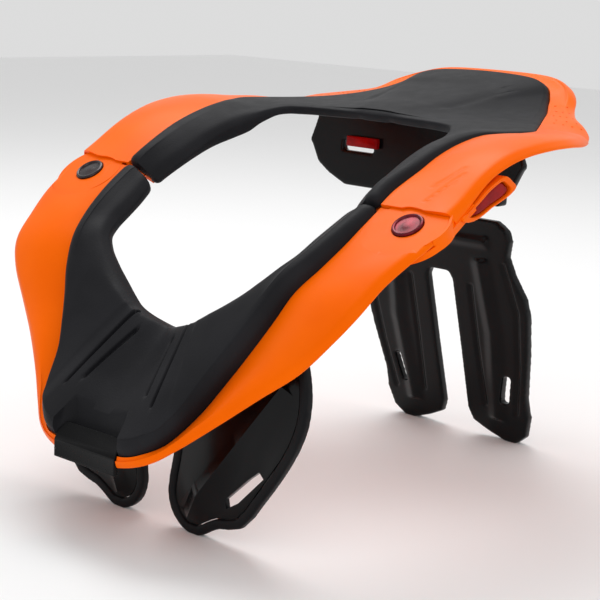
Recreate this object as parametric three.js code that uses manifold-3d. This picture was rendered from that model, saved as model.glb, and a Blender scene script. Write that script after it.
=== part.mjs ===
// A hard-shell neck brace for motocross: a two-part collar that hinges open on the wearer's right,
// with foam pads on top, chest paddles in front and a two-legged strut behind.
// Millimetres, +Z up, +X the wearer's left, the nose towards -Y, the floor at z = 0.
import * as THREE from 'three';
import { mergeVertices } from 'three/addons/utils/BufferGeometryUtils.js';
import Module from 'manifold-3d';

const wasm = await Module();
wasm.setup();

// Driving sizes of the collar.
const collarHalf = 130;
const frontReach = 95;
const rearReach = 228;
const hingeInset = 20;
const noseDrop = 120;
const tailRise = 57;
const hingeTilt = 33.8;
const clearance = 0.3;

// Shell walls and rims.
const shellWall = 3.2;
const shellCrown = 2.2;
const rimHeight = 3.4;
const rimRoll = 5;
const trayDrop = 2.2;
const trayWall = 2.4;
const trayInset = 4;

// Foam pads.
const padRise = 8;
const padBevel = 7;
const padRoll = 8;
const padDepth = 16;

// The lap joints: skin over lug over tongue, stacked along the hinge axis.
const skinThick = 1;
const lugThick = 3;
const tongueThick = 3.5;
const lugRadius = 19.5;
const tongueRadius = 20.3;
const tongueRoot = 1.2;
const swingRadius = 21.7;
const lapCutRadius = 22.4;
const buttonRadius = 7.8;
const buttonDome = 1.2;
const buttonSink = 0.6;
const pinRadius = 5.5;
const pinFlange = 1.4;
const latchSlack = 1.2;
const wrapThick = 1.4;
const wrapReach = 11;
const wrapTail = 6;

// Chest paddles. They hang at a share of frontReach before the joints and a share of noseDrop below them.
const paddleSpan = 97;
const paddleHeight = 108;
const paddleForward = 0.48421;
const paddleHang = 0.43333;
const paddlePlate = 3;
const paddleRim = 5;
const paddleRimWidth = 5;
const paddleRidge = 3;
const paddleRidgeWidth = 12;
const ridgeRoot = 1;

// Back strut, wing plate and adjusters.
const strutHalf = 60;
const strutHeight = 138;
const strutSetback = 20;
const strutLean = 0.3;
const strutThick = 6;
const strutRidge = 2.5;
const legRidgeWidth = 14;
const barRidgeWidth = 9;
const neckHalf = 26;
const neckRise = 38;
const wingHalf = 76;
const wingDrop = 11;
const wingRise = 44;
const wingThick = 5;
const wingSlotHigh = 6;
const adjusterHeight = 6;
const adjusterThick = 3;
const adjusterShift = 5;

// Release lever under the left rim.
const leverLength = 42;
const leverHeight = 20;
const leverWidth = 12;
const leverPocket = 0.78;
const leverPocketDepth = 4.8;
const leverBack = 13;
const leverRise = 1.5;
const leverStand = 1.2;
const catchGap = 0.06;

// Nose clip.
const clipHalf = 21.5;
const clipTaper = 0.74;
const clipPlate = 2.4;
const clipFlap = 10;
const clipLip = 8.4;
const clipSlope = 60;
const clipRound = 1.4;
const clipRise = 6;
const recessGap = 1.2;
const recessBack = 3;

const stationsPerRow = 2;
const roundSides = 28;
const sliver = 0.03;

const hingeHalf = collarHalf - hingeInset;
const hingeY = (frontReach - rearReach) / 2;
const hingeHeight = paddleHeight + paddleHang * noseDrop;
const orange = { color: 0xff6a00, roughness: 0.35, metalness: 0 };
const charcoal = { color: 0x343438, roughness: 0.75, metalness: 0 };
const glossBlack = { color: 0x101012, roughness: 0.3, metalness: 0 };
const red = { color: 0x8a0612, roughness: 0.25, metalness: 0.3 };

// Half sections of the front of the collar, nose first. Lengths are shares: x of collarHalf,
// y of frontReach and z of noseDrop, both from the hinge. inner is the edge of the neck opening,
// seam the line between pad and shell, rim the lower outer edge. crown, wall, edge, rise and depth
// are shares of shellCrown, shellWall, rimHeight, padRise and padDepth.
const frontRows = [
  {
    inner: [0, -0.379, -0.525], seam: [0, -0.958, -0.95], rim: [0, -0.996, -0.997],
    crown: 0, wall: 1, edge: 0.5, rise: 0.9, depth: 0.4,
  },
  {
    inner: [0.077, -0.411, -0.5], seam: [0.185, -0.984, -0.938], rim: [0.169, -0.979, -0.988],
    crown: 0, wall: 1, edge: 0.5, rise: 0.9, depth: 0.4,
  },
  {
    inner: [0.131, -0.432, -0.475], seam: [0.269, -0.937, -0.912], rim: [0.292, -0.932, -0.95],
    crown: 0.1, wall: 1, edge: 0.6, rise: 1, depth: 0.4,
  },
  {
    inner: [0.177, -0.435, -0.45], seam: [0.327, -0.847, -0.867], rim: [0.385, -0.853, -0.879],
    crown: 0.3, wall: 1, edge: 0.8, rise: 1.1, depth: 0.4,
  },
  {
    inner: [0.231, -0.421, -0.412], seam: [0.385, -0.716, -0.758], rim: [0.492, -0.753, -0.779],
    crown: 0.6, wall: 1, edge: 1, rise: 1.2, depth: 0.4,
  },
  {
    inner: [0.292, -0.402, -0.367], seam: [0.446, -0.616, -0.625], rim: [0.623, -0.647, -0.654],
    crown: 1, wall: 1, edge: 1, rise: 1.2, depth: 0.4,
  },
  {
    inner: [0.354, -0.387, -0.317], seam: [0.5, -0.542, -0.508], rim: [0.746, -0.563, -0.542],
    crown: 1, wall: 1, edge: 1, rise: 1.1, depth: 0.4,
  },
  {
    inner: [0.412, -0.363, -0.263], seam: [0.554, -0.479, -0.392], rim: [0.85, -0.505, -0.412],
    crown: 1, wall: 1, edge: 1, rise: 1, depth: 0.4,
  },
  {
    inner: [0.458, -0.316, -0.212], seam: [0.597, -0.4, -0.275], rim: [0.912, -0.432, -0.308],
    crown: 1, wall: 1, edge: 1, rise: 0.9, depth: 0.4,
  },
  {
    inner: [0.485, -0.232, -0.169], seam: [0.635, -0.284, -0.188], rim: [0.938, -0.305, -0.208],
    crown: 0.8, wall: 1, edge: 1, rise: 0.85, depth: 0.4,
  },
  {
    inner: [0.495, -0.129, -0.119], seam: [0.658, -0.158, -0.108], rim: [0.969, -0.168, -0.125],
    crown: 0.4, wall: 1, edge: 1, rise: 0.8, depth: 0.4,
  },
  {
    inner: [0.506, -0.037, -0.074], seam: [0.669, -0.042, -0.038], rim: [0.99, -0.032, -0.058],
    crown: 0, wall: 0.94, edge: 0.9, rise: 0.7, depth: 0.4,
  },
  {
    inner: [0.523, 0.063, -0.021], seam: [0.675, 0.084, 0.03], rim: [0.995, 0.1, 0.012],
    crown: 0, wall: 0.94, edge: 0.9, rise: 0.6, depth: 0.4,
  },
];

// Half sections of the rear, from the lap joint to the tail. Here y is a share of rearReach and
// z of tailRise.
const rearRows = [
  {
    inner: [0.527, 0.048, -0.035], seam: [0.674, 0.036, 0.095], rim: [0.997, 0.054, -0.014],
    crown: 0, wall: 2.5, edge: 2.2, rise: 0.7, depth: 0.29,
  },
  {
    inner: [0.519, 0.088, 0.07], seam: [0.673, 0.081, 0.202], rim: [0.997, 0.086, 0.122],
    crown: 0.1, wall: 2.3, edge: 1.4, rise: 0.8, depth: 0.32,
  },
  {
    inner: [0.512, 0.154, 0.211], seam: [0.687, 0.154, 0.351], rim: [0.994, 0.154, 0.326],
    crown: 0.6, wall: 1.2, edge: 1, rise: 0.7, depth: 0.36,
  },
  {
    inner: [0.508, 0.219, 0.342], seam: [0.688, 0.211, 0.456], rim: [0.998, 0.219, 0.439],
    crown: 1, wall: 1, edge: 1, rise: 0.6, depth: 0.45,
  },
  {
    inner: [0.504, 0.285, 0.447], seam: [0.692, 0.281, 0.547], rim: [1.009, 0.285, 0.509],
    crown: 1, wall: 1, edge: 1, rise: 0.5, depth: 0.56,
  },
  {
    inner: [0.5, 0.346, 0.518], seam: [0.708, 0.355, 0.609], rim: [1.02, 0.364, 0.547],
    crown: 1, wall: 1, edge: 1, rise: 0.35, depth: 0.56,
  },
  {
    inner: [0.488, 0.386, 0.57], seam: [0.754, 0.417, 0.621], rim: [1.012, 0.439, 0.551],
    crown: 0.8, wall: 1, edge: 1, rise: 0.2, depth: 0.42,
  },
  {
    inner: [0.465, 0.417, 0.605], seam: [0.786, 0.478, 0.633], rim: [0.977, 0.513, 0.533],
    crown: 0.5, wall: 1, edge: 1, rise: 0.1, depth: 0.32,
  },
  {
    inner: [0.431, 0.439, 0.623], seam: [0.738, 0.535, 0.637], rim: [0.915, 0.588, 0.526],
    crown: 0.5, wall: 1, edge: 1, rise: 0.1, depth: 0.3,
  },
  {
    inner: [0.385, 0.45, 0.628], seam: [0.677, 0.596, 0.642], rim: [0.862, 0.636, 0.517],
    crown: 0.2, wall: 1, edge: 0.5, rise: 0.1, depth: 0.3,
  },
  {
    inner: [0.331, 0.456, 0.632], seam: [0.615, 0.658, 0.653], rim: [0.8, 0.68, 0.552],
    crown: 0.2, wall: 1, edge: 0.5, rise: 0.1, depth: 0.3,
  },
  {
    inner: [0.277, 0.461, 0.632], seam: [0.562, 0.714, 0.674], rim: [0.725, 0.715, 0.612],
    crown: 0.2, wall: 1, edge: 0.5, rise: 0.1, depth: 0.3,
  },
  {
    inner: [0.223, 0.463, 0.632], seam: [0.508, 0.772, 0.7], rim: [0.64, 0.78, 0.66],
    crown: 0.2, wall: 1, edge: 0.5, rise: 0.15, depth: 0.3,
  },
  {
    inner: [0.169, 0.465, 0.632], seam: [0.446, 0.829, 0.75], rim: [0.558, 0.846, 0.705],
    crown: 0.2, wall: 1, edge: 0.5, rise: 0.2, depth: 0.3,
  },
  {
    inner: [0.115, 0.466, 0.632], seam: [0.396, 0.877, 0.81], rim: [0.492, 0.908, 0.79],
    crown: 0.3, wall: 1, edge: 1, rise: 0.3, depth: 0.3,
  },
  {
    inner: [0.069, 0.467, 0.632], seam: [0.338, 0.914, 0.9], rim: [0.4, 0.961, 0.87],
    crown: 0.3, wall: 1, edge: 1, rise: 0.4, depth: 0.3,
  },
  {
    inner: [0.038, 0.467, 0.632], seam: [0.231, 0.932, 0.95], rim: [0.277, 0.991, 0.93],
    crown: 0.3, wall: 1, edge: 1, rise: 0.4, depth: 0.3,
  },
  {
    inner: [0, 0.467, 0.632], seam: [0, 0.934, 0.97], rim: [0, 1, 0.94],
    crown: 0.3, wall: 1, edge: 1, rise: 0.4, depth: 0.3,
  },
];

// Seam of the lap joint as seen from above, shares of lugRadius from the hinge: u outward, v rearward.
const latchSeam = [[-1.6, 0.47], [-0.67, 0.47], [-0.35, 0.57], [0.01, 0.55], [0.33, 0.44], [0.68, 0.18],
  [0.87, -0.02], [0.95, -0.3], [1.03, -0.6], [1.03, -1.6], [-1.6, -1.6]];
const hingeSeam = [[-1.6, 0.42], [-1.16, 0.39], [-0.88, 0.43], [-0.35, 0.58], [0.18, 0.57], [0.64, 0.65],
  [1.6, 0.72], [1.6, -1.6], [-1.6, -1.6]];

// Outline of a chest paddle, shares of paddleSpan across and paddleHeight up.
const paddleOutline = [
  [0.24, 0], [0.32, 0], [0.39, 0.035], [0.455, 0.065], [0.6, 0.1], [0.73, 0.24], [0.84, 0.375],
  [0.935, 0.515], [0.985, 0.63], [1, 0.735], [0.99, 0.84], [0.95, 0.94], [0.86, 0.985], [0.7, 0.94],
  [0.52, 0.86], [0.36, 0.78], [0.23, 0.67], [0.15, 0.5], [0.12, 0.33], [0.09, 0.17], [0.115, 0.085],
  [0.17, 0.03],
];
const paddleSlot = [[0.5, 0.17], [0.58, 0.215], [0.74, 0.36], [0.71, 0.385], [0.64, 0.335], [0.49, 0.21]];
const paddleRidgeLine = [[0.84, 0.78], [0.56, 0.47], [0.32, 0.2], [0.27, 0.1]];

// Outline of the right half of the back strut, shares of strutHalf across and strutHeight up.
const strutOutline = [
  [0, 1], [0.75, 1], [0.86, 0.965], [0.88, 0.92], [0.83, 0.85], [0.88, 0.77], [0.98, 0.68], [1, 0.6],
  [0.95, 0.42], [0.87, 0.22], [0.88, 0.13], [0.82, 0.04], [0.7, 0], [0.56, 0], [0.37, 0.03], [0.2, 0.065],
  [0.15, 0.12], [0.155, 0.4], [0.15, 0.71], [0.11, 0.745], [0, 0.745],
];
const strutSlot = [[0.64, 0.31], [0.72, 0.31], [0.66, 0.18], [0.57, 0.18]];
const strutRidgeLine = [[0.52, 0.8], [0.58, 0.5], [0.52, 0.12]];

// Outline of one half of the wing plate, shares of wingHalf across and of its height up.
const wingOutline = [[0, 1], [0.9, 1], [0.94, 0.8], [1, 0.54], [0.97, 0.47], [0.91, 0.26], [0.8, 0.13],
  [0.63, 0], [0, 0]];
const wingSlot = { from: 0.36, to: 0.66, low: 0.46 };

// Outline of the release lever in a side view, shares of leverLength along and leverHeight up.
const leverOutline = [[0, 0.08], [0.12, 0], [0.33, 0.07], [0.55, 0.27], [0.8, 0.45], [0.95, 0.6], [1, 0.72],
  [0.92, 0.84], [0.8, 0.98], [0.62, 0.86], [0.45, 0.68], [0.28, 0.44], [0.14, 0.26]];

// Working with closed solids.
function toSolid(geometry) {
  const bare = geometry.clone();
  bare.deleteAttribute('normal');
  bare.deleteAttribute('uv');
  const merged = mergeVertices(bare, 1e-4);
  return new wasm.Manifold(new wasm.Mesh({
    numProp: 3,
    vertProperties: new Float32Array(merged.attributes.position.array),
    triVerts: new Uint32Array(merged.index.array),
  }));
}

function toGeometry(solid) {
  const mesh = solid.getMesh();
  const geometry = new THREE.BufferGeometry();
  const places = new Float32Array(mesh.vertProperties);
  geometry.setAttribute('position', new THREE.BufferAttribute(places, 3));
  geometry.setIndex(new THREE.BufferAttribute(new Uint32Array(mesh.triVerts), 1));
  geometry.computeVertexNormals();
  return geometry;
}

// The largest body of a cut solid. Offcuts beyond the cutter fall away.
function mainBody(solid) {
  return solid.decompose().sort((a, b) => b.volume() - a.volume())[0];
}

const group = new THREE.Group();

function addPiece(name, solid, look) {
  const mesh = new THREE.Mesh(toGeometry(solid.simplify(sliver)), new THREE.MeshStandardMaterial(look));
  mesh.name = name;
  group.add(mesh);
}

// A flat outline pushed out between two levels, then placed by a matrix.
function prism(points, low, high, place) {
  const shape = new THREE.Shape(points.map(([x, y]) => new THREE.Vector2(x, y)));
  const geometry = new THREE.ExtrudeGeometry(shape, { depth: high - low, bevelEnabled: false });
  geometry.translate(0, 0, low);
  geometry.applyMatrix4(place);
  return toSolid(geometry);
}

function circle(radius, u = 0, v = 0, sides = roundSides) {
  return Array.from({ length: sides }, (_, i) => {
    const angle = (2 * Math.PI * i) / sides;
    return [u + radius * Math.cos(angle), v + radius * Math.sin(angle)];
  });
}

function scaled(points, across, up) {
  return points.map(([x, y]) => [x * across, y * up]);
}

// A closed outline smoothed by a spline through its corners.
function smooth(points, perSpan = 3) {
  const corners = points.map(([x, y]) => new THREE.Vector3(x, y, 0));
  const curve = new THREE.CatmullRomCurve3(corners, true, 'centripetal');
  return curve.getPoints(points.length * perSpan).slice(0, -1).map((p) => [p.x, p.y]);
}

// An outline moved inward by a distance, corner by corner.
function inset(points, distance) {
  const count = points.length;
  const area = THREE.ShapeUtils.area(points.map(([x, y]) => new THREE.Vector2(x, y)));
  const turn = Math.sign(area);
  return points.map((point, i) => {
    const before = points[(i + count - 1) % count];
    const after = points[(i + 1) % count];
    const along = new THREE.Vector2(after[0] - before[0], after[1] - before[1]).normalize();
    return [point[0] - along.y * distance * turn, point[1] + along.x * distance * turn];
  });
}

// An outline drawn in towards its middle, to a share of its size.
function shrunk(points, share) {
  const middle = [0, 1].map((k) => points.reduce((sum, p) => sum + p[k], 0) / points.length);
  return points.map((p) => [0, 1].map((k) => middle[k] + (p[k] - middle[k]) * share));
}

// Sections of the collar.
function rowPoint(share, side, front) {
  const reach = front ? frontReach : rearReach;
  const climb = front ? noseDrop : tailRise;
  return new THREE.Vector3(
    side * share[0] * collarHalf,
    hingeY + share[1] * reach,
    hingeHeight + share[2] * climb,
  );
}

// Every row of both halves in order, with the middle row once.
function bothHalves(rows, front) {
  const fromMiddle = front ? rows : [...rows].reverse();
  const place = (row, side) => ({
    ...row,
    inner: rowPoint(row.inner, side, front),
    seam: rowPoint(row.seam, side, front),
    rim: rowPoint(row.rim, side, front),
  });
  const left = fromMiddle.map((row) => place(row, 1));
  const right = fromMiddle.slice(1).map((row) => place(row, -1));
  return [...right.reverse(), ...left];
}

function spline(values, at) {
  const last = values.length - 1;
  const i = Math.min(Math.floor(at), last - 1);
  const t = at - i;
  const p0 = values[Math.max(i - 1, 0)];
  const p1 = values[i];
  const p2 = values[i + 1];
  const p3 = values[Math.min(i + 2, last)];
  const bend = 2 * p0 - 5 * p1 + 4 * p2 - p3;
  const twist = 3 * p1 - p0 - 3 * p2 + p3;
  return 0.5 * (2 * p1 + (p2 - p0) * t + bend * t ** 2 + twist * t ** 3);
}

// Stations between the rows, each with its own upward direction.
function stations(rows, front) {
  const all = bothHalves(rows, front);
  const count = (all.length - 1) * stationsPerRow;
  const list = Array.from({ length: count + 1 }, (_, k) => {
    const at = k / stationsPerRow;
    const station = {};
    for (const key of ['inner', 'seam', 'rim']) {
      station[key] = new THREE.Vector3(
        ...['x', 'y', 'z'].map((axis) => spline(all.map((row) => row[key][axis]), at)),
      );
    }
    for (const key of ['crown', 'wall', 'edge', 'rise', 'depth']) {
      station[key] = spline(all.map((row) => row[key]), at);
    }
    return station;
  });
  list.forEach((station, k) => {
    const before = list[Math.max(k - 1, 0)];
    const after = list[Math.min(k + 1, count)];
    const along = after.seam.clone().sub(before.seam);
    const across = station.rim.clone().sub(station.inner);
    station.up = along.cross(across).normalize();
    if (station.up.z < 0) station.up.negate();
    station.outward = station.rim.clone().sub(station.seam);
    station.shellWidth = station.outward.length();
    station.outward.normalize();
    station.inward = station.inner.clone().sub(station.seam);
    station.padWidth = station.inward.length();
    station.inward.normalize();
  });
  return list;
}

const at = (station, way, distance, level) => station.seam.clone()
  .addScaledVector(way, distance).addScaledVector(station.up, level);

// The shell: a crowned band from the pad seam to the rolled rim, with a tray under the pad.
function shellSection(s) {
  const out = (distance, level) => at(s, s.outward, distance, level);
  const into = (distance, level) => at(s, s.inward, distance, level);
  const wide = s.shellWidth;
  const edge = rimHeight * s.edge;
  const roll = Math.min(rimRoll, wide * 0.45);
  const crown = shellCrown * s.crown;
  const wall = shellWall * s.wall;
  const trayReach = s.padWidth - trayInset;
  const trayTop = Math.max(padDepth * s.depth - trayWall, trayDrop);
  return [
    out(0, 0),
    out(wide * 0.25, edge * 0.25 + crown * 0.7),
    out(wide * 0.55, edge * 0.6 + crown),
    out(wide - roll, edge + crown * 0.3),
    out(wide - roll * 0.35, edge * 0.8),
    out(wide, edge * 0.35),
    out(wide - roll * 0.12, 0),
    out(wide - roll, edge * 0.2 - 0.8),
    out(wide * 0.45, edge * 0.45 + crown - wall),
    out(0, -Math.max(wall, trayDrop + trayWall)),
    into(trayReach * 0.5, -(trayDrop + trayTop) / 2 - trayWall),
    into(trayReach, -trayTop - trayWall),
    into(trayReach, -trayTop),
    into(trayReach * 0.5, -(trayDrop + trayTop) / 2),
    into(clearance, -trayDrop),
    into(clearance * 0.5, -clearance),
  ];
}

// The foam pad: a steep bevel from the seam, a broad top, a rolled inner edge and a deep inner wall.
function padSection(s) {
  const into = (distance, level) => at(s, s.inward, distance, level);
  const wide = s.padWidth;
  const rise = padRise * s.rise;
  const bevel = Math.min(padBevel, wide * 0.35);
  const roll = Math.min(padRoll, wide * 0.4);
  const trayTop = Math.max(padDepth * s.depth - trayWall, trayDrop);
  const low = trayTop + trayWall;
  const middle = (bevel + wide - roll) / 2;
  const trayReach = wide - trayInset;
  const foot = clearance * 1.2;
  return [
    into(clearance * 2, -clearance),
    into(bevel * 0.3, rise * 0.5),
    into(bevel * 0.8, rise * 0.93),
    into(bevel * 1.3, rise),
    into(middle, rise * 0.92),
    into(wide - roll, rise * 0.7),
    into(wide - roll * 0.4, rise * 0.4),
    into(wide - roll * 0.08, -low * 0.05),
    into(wide, -low * 0.35),
    into(wide - roll * 0.1, -low * 0.85),
    into(wide - roll * 0.25, -low),
    into(trayReach + foot, -low),
    into(trayReach + foot, -trayTop + foot),
    into(trayReach * 0.5, -(trayDrop + trayTop) / 2 + foot),
    into(clearance * 3, -trayDrop + foot),
  ];
}

// Rings joined into one closed body with flat ends.
function loft(rings) {
  const size = rings[0].length;
  const positions = rings.flat().flatMap((p) => [p.x, p.y, p.z]);
  const index = [];
  for (let k = 0; k < rings.length - 1; k += 1) {
    for (let i = 0; i < size; i += 1) {
      const j = (i + 1) % size;
      const [a, b, c, d] = [k * size + i, k * size + j, (k + 1) * size + j, (k + 1) * size + i];
      index.push(a, b, c, a, c, d);
    }
  }
  const ends = [[rings[0], 0, false], [rings.at(-1), (rings.length - 1) * size, true]];
  for (const [ring, start, flip] of ends) {
    const origin = ring[0];
    const across = ring[Math.floor(size / 4)].clone().sub(origin).normalize();
    const normal = new THREE.Vector3();
    const arms = ring.map((p) => p.clone().sub(origin));
    arms.forEach((arm, i) => normal.add(arm.clone().cross(arms[(i + 1) % size])));
    normal.normalize();
    const up = normal.clone().cross(across);
    const flat = arms.map((arm) => new THREE.Vector2(arm.dot(across), arm.dot(up)));
    for (const [a, b, c] of THREE.ShapeUtils.triangulateShape(flat, [])) {
      const face = [start + a, start + b, start + c];
      index.push(...(flip ? face : face.reverse()));
    }
  }
  const geometry = new THREE.BufferGeometry();
  geometry.setAttribute('position', new THREE.BufferAttribute(new Float32Array(positions), 3));
  geometry.setIndex(index);
  const solid = toSolid(geometry);
  if (solid.volume() > 0) return solid;
  for (let i = 0; i < index.length; i += 3) [index[i], index[i + 1]] = [index[i + 1], index[i]];
  geometry.setIndex(index);
  return toSolid(geometry);
}

// The plane of each lap joint: u outward, v rearward and up the slope, w along the hinge axis.
function jointPlace(side) {
  const tilt = THREE.MathUtils.degToRad(hingeTilt);
  const u = new THREE.Vector3(side, 0, 0);
  const v = new THREE.Vector3(0, Math.cos(tilt), Math.sin(tilt));
  const w = new THREE.Vector3(0, -Math.sin(tilt), Math.cos(tilt));
  const place = new THREE.Matrix4().makeBasis(u, v, w);
  place.setPosition(side * hingeHalf, hingeY, hingeHeight);
  return place;
}

// A prism on a joint's plane. The right side is a mirror image, so its faces are turned over.
function jointPrism(points, low, high, side) {
  const place = jointPlace(1);
  const solid = prism(points, low, high, place);
  if (side > 0) return solid;
  return solid.mirror([1, 0, 0]);
}

const slotTop = -skinThick;
const lugTop = slotTop - clearance;
const lugLow = lugTop - lugThick;
const tongueTop = lugLow - clearance;
const tongueLow = tongueTop - tongueThick;
const far = 40;

function box(u0, u1, v0, v1) {
  return [[u0, v0], [u1, v0], [u1, v1], [u0, v1]];
}

const frontStations = stations(frontRows, true);
const rearStations = stations(rearRows, false);
const noseY = hingeY - frontReach;
const clipTop = hingeHeight - noseDrop + clipRise;

// Nose clip: a bent plate set into the front band, with a flap lying in the pad's recess.
const flapTurn = THREE.MathUtils.degToRad(clipSlope);
const [flapBack, flapUp] = [Math.cos(flapTurn), Math.sin(flapTurn)];
const clipFront = noseY;
const flapEnd = [clipFront + flapBack * clipFlap, clipTop + flapUp * clipFlap];
function clipProfile(grow) {
  const thick = clipPlate + grow;
  return [
    [clipFront - grow, clipTop - clipLip - grow],
    [clipFront + thick, clipTop - clipLip - grow],
    [clipFront + thick, clipTop - clipRound],
    [flapEnd[0] + flapUp * thick + grow, flapEnd[1] - flapBack * thick + grow],
    [flapEnd[0] + grow, flapEnd[1] + grow],
    [clipFront + clipRound / 2 - grow, clipTop + clipRound + grow],
    [clipFront - grow, clipTop],
  ];
}

// Local x of the profile runs along +Y, its y along +Z, and the depth along +X.
const sideways = new THREE.Matrix4().makeBasis(
  new THREE.Vector3(0, 1, 0), new THREE.Vector3(0, 0, 1), new THREE.Vector3(1, 0, 0),
);

// What a plan seen from above keeps of a profile pushed sideways.
function clipBody(profile, grow, back) {
  const wide = clipHalf + grow;
  const narrow = wide * clipTaper;
  const bend = clipFront + clipPlate;
  const plan = [
    [-wide, clipFront - far], [wide, clipFront - far], [wide, bend],
    [narrow, back], [-narrow, back], [-wide, bend],
  ];
  return prism(profile, -wide, wide, sideways).intersect(prism(plan, 0, hingeHeight, new THREE.Matrix4()));
}
const flapReach = flapEnd[0] + clipPlate * flapUp;
const noseClip = clipBody(clipProfile(0), 0, flapReach);
const clipRoom = clipBody(clipProfile(clearance), clearance, flapReach + clearance);
const recessReach = flapReach + recessBack;
const recess = clipBody([
  [clipFront - far, clipTop - clipPlate],
  [clipFront, clipTop - clipPlate],
  [flapEnd[0] + flapUp * clipPlate, flapEnd[1] - flapBack * clipPlate],
  [recessReach, flapEnd[1] + clearance],
  [recessReach, clipTop + far],
  [clipFront - far, clipTop + far],
], recessGap, recessReach);

// Front shell with its two lugs.
let frontShell = loft(frontStations.map(shellSection));
for (const side of [1, -1]) {
  frontShell = frontShell
    .subtract(jointPrism(circle(lapCutRadius), lugTop, far, side))
    .subtract(jointPrism(circle(lapCutRadius), -far, lugLow, side))
    .subtract(jointPrism(box(-lapCutRadius, lapCutRadius, 0, far), -far, lugLow, side))
    .add(jointPrism(circle(lugRadius), lugLow, lugTop, side))
    .subtract(jointPrism(circle(pinRadius + clearance), -far, far, side))
    .subtract(jointPrism(circle(buttonRadius + clearance), lugTop - buttonSink, far, side));
}
const swingCorner = jointPrism(box(0, far, 0, far), -far, far, -1)
  .subtract(jointPrism(circle(swingRadius), -far, far, -1));
frontShell = mainBody(frontShell.subtract(swingCorner).subtract(clipRoom));

// Front pad with the recess that the clip's flap lies in.
let frontPad = loft(frontStations.map(padSection));
frontPad = mainBody(frontPad.subtract(clipRoom).subtract(recess));

// Rear shell: skins over the lugs, tongues under them.
let rearShell = loft(rearStations.map(shellSection));
for (const side of [1, -1]) {
  const seam = scaled(side > 0 ? latchSeam : hingeSeam, lugRadius, lugRadius);
  const slotRadius = (side > 0 ? lugRadius : swingRadius) + clearance * 2;
  const root = box(-tongueRadius, tongueRadius, 0, tongueRadius * tongueRoot);
  rearShell = rearShell
    .subtract(jointPrism(seam, tongueTop + clearance, far, side))
    .add(jointPrism(circle(tongueRadius), tongueLow, tongueTop, side))
    .add(jointPrism(root, tongueLow, tongueTop, side))
    .subtract(jointPrism(circle(slotRadius), tongueTop, slotTop, side));
}
const latchMouth = box(-pinRadius - latchSlack, pinRadius + latchSlack, -far, pinRadius + clearance);
const wrapInner = lugRadius + clearance;
const latchWrap = box(wrapInner, wrapInner + wrapThick, -wrapTail, wrapReach);
rearShell = rearShell
  .subtract(jointPrism(circle(pinRadius + clearance), -far, far, -1))
  .subtract(jointPrism(latchMouth, tongueLow - clearance, tongueTop + clearance, 1))
  .add(jointPrism(latchWrap, tongueLow, slotTop, 1));

const rearPad = loft(rearStations.map(padSection));

// Buttons at the two lap joints.
function buttonHead(side) {
  const profile = [
    new THREE.Vector2(0, lugTop - buttonSink + clearance),
    new THREE.Vector2(buttonRadius, lugTop - buttonSink + clearance),
    new THREE.Vector2(buttonRadius, lugTop + buttonDome * 0.5),
    new THREE.Vector2(buttonRadius * 0.85, lugTop + buttonDome),
    new THREE.Vector2(0, lugTop + buttonDome * 0.8),
  ];
  const geometry = new THREE.LatheGeometry(profile, roundSides);
  geometry.rotateX(Math.PI / 2);
  geometry.applyMatrix4(jointPlace(1));
  const solid = toSolid(geometry);
  return side > 0 ? solid : solid.mirror([1, 0, 0]);
}
const pinTop = lugTop - buttonSink + clearance * 2;
const pinLow = tongueLow - clearance;
const latchButton = buttonHead(1).add(jointPrism(circle(pinRadius), tongueLow, pinTop, 1));
const hingePin = buttonHead(-1)
  .add(jointPrism(circle(pinRadius), pinLow - pinFlange, pinTop, -1))
  .add(jointPrism(circle(buttonRadius), pinLow - pinFlange, pinLow, -1));

// Chest paddles hang from the front shell. Their outline stands in the XZ plane.
const standing = (y) => new THREE.Matrix4().makeBasis(
  new THREE.Vector3(1, 0, 0), new THREE.Vector3(0, 0, 1), new THREE.Vector3(0, -1, 0),
).setPosition(0, y, 0);
const paddleY = hingeY - paddleForward * frontReach;
const paddlePlace = standing(paddleY);
const paddleScaled = (points) => scaled(points, paddleSpan, paddleHeight);
const paddleShape = smooth(paddleScaled(paddleOutline), 2).map(([x, z]) => [x, Math.max(z, 0)]);
const drop = clearance * 1.5;
const shellRoom = frontShell.add(frontPad).translate([0, 0, -drop]);

// A bar of triangular section along a line, rooted in a plate and standing proud of it.
function ridge(line, width, height, base, place) {
  let solid = null;
  for (let i = 0; i < line.length - 1; i += 1) {
    const [x0, y0] = line[i];
    const [x1, y1] = line[i + 1];
    const long = Math.hypot(x1 - x0, y1 - y0);
    const half = width / 2;
    const section = [[-half, -ridgeRoot], [half, -ridgeRoot], [half, 0], [0, height], [-half, 0]];
    const bar = prism(section, -width * 0.2, long + width * 0.2, new THREE.Matrix4());
    const along = new THREE.Vector3(x1 - x0, y1 - y0, 0).normalize();
    const out = new THREE.Vector3(0, 0, 1);
    const turn = new THREE.Matrix4().makeBasis(new THREE.Vector3().crossVectors(out, along), out, along);
    turn.setPosition(x0, y0, base);
    const piece = bar.transform(new THREE.Matrix4().multiplyMatrices(place, turn).toArray());
    solid = solid ? solid.add(piece) : piece;
  }
  return solid;
}

const paddleSlotShape = paddleScaled(paddleSlot);
const foldLine = paddleScaled(paddleRidgeLine);
const paddleFold = ridge(foldLine, paddleRidgeWidth, paddleRidge, paddlePlate / 2, paddlePlace);
const plateShape = inset(paddleShape, paddleRimWidth + clearance);
const paddle = mainBody(prism(plateShape, -paddlePlate / 2, paddlePlate / 2, paddlePlace)
  .add(paddleFold)
  .subtract(prism(paddleSlotShape, -far, far, paddlePlace))
  .subtract(shellRoom));
const paddleEdge = mainBody(prism(paddleShape, -paddleRim / 2, paddleRim / 2, paddlePlace)
  .subtract(prism(inset(paddleShape, paddleRimWidth), -far, far, paddlePlace))
  .subtract(shellRoom));

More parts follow.
